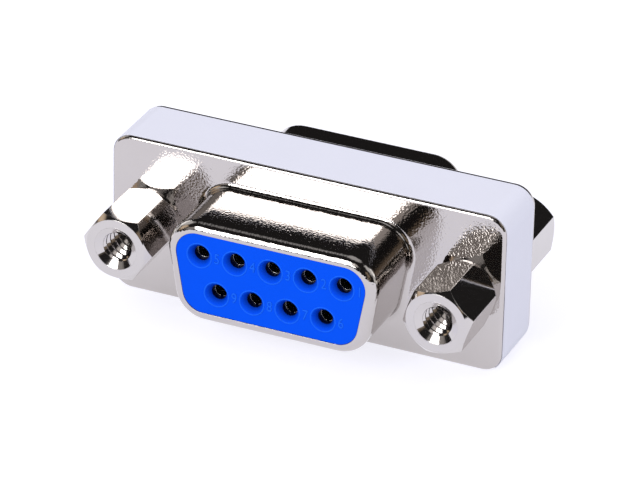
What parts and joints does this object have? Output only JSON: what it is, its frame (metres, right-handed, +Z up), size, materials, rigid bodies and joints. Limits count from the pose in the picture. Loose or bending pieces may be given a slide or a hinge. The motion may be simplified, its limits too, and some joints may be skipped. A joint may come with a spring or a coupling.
{
  "type": "d-sub gender changer",
  "caption": "Slim two-sided D-sub adapter in plated sheet steel with a blue insulator, cranked double-ended sockets and threaded hexagonal jack nuts on both faces.",
  "frame": {"origin": "middle of the body, midway between the two plates", "axes": "+X along the body's length, -Y the way the front connector faces, +Z up, towards the long row of the front connector"},
  "size_m": [0.0308, 0.018, 0.0126],
  "materials": {
    "nickel_shell": "bright nickel plate over drawn steel",
    "nickel_nut": "bright nickel plate, turned",
    "blue_insulator": "smooth moulded thermoplastic",
    "plated_contact": "plated stamped sheet",
    "spacer_brass": "turned",
    "label": "satin film label"
  },
  "bodies": {
    "root": {"front_shell": "nickel_shell", "rear_shell": "nickel_shell", "front_insulator": "blue_insulator", "rear_insulator": "blue_insulator", "left_spacer": "spacer_brass", "right_spacer": "spacer_brass", "label_band": "label", "contact_1": "plated_contact", "contact_2": "plated_contact", "contact_3": "plated_contact", "contact_4": "plated_contact", "contact_5": "plated_contact", "contact_6": "plated_contact", "contact_7": "plated_contact", "contact_8": "plated_contact", "contact_9": "plated_contact", "front_left_jack_nut": "nickel_nut", "front_right_jack_nut": "nickel_nut", "rear_left_jack_nut": "nickel_nut", "rear_right_jack_nut": "nickel_nut"}
  },
  "joints": []
}
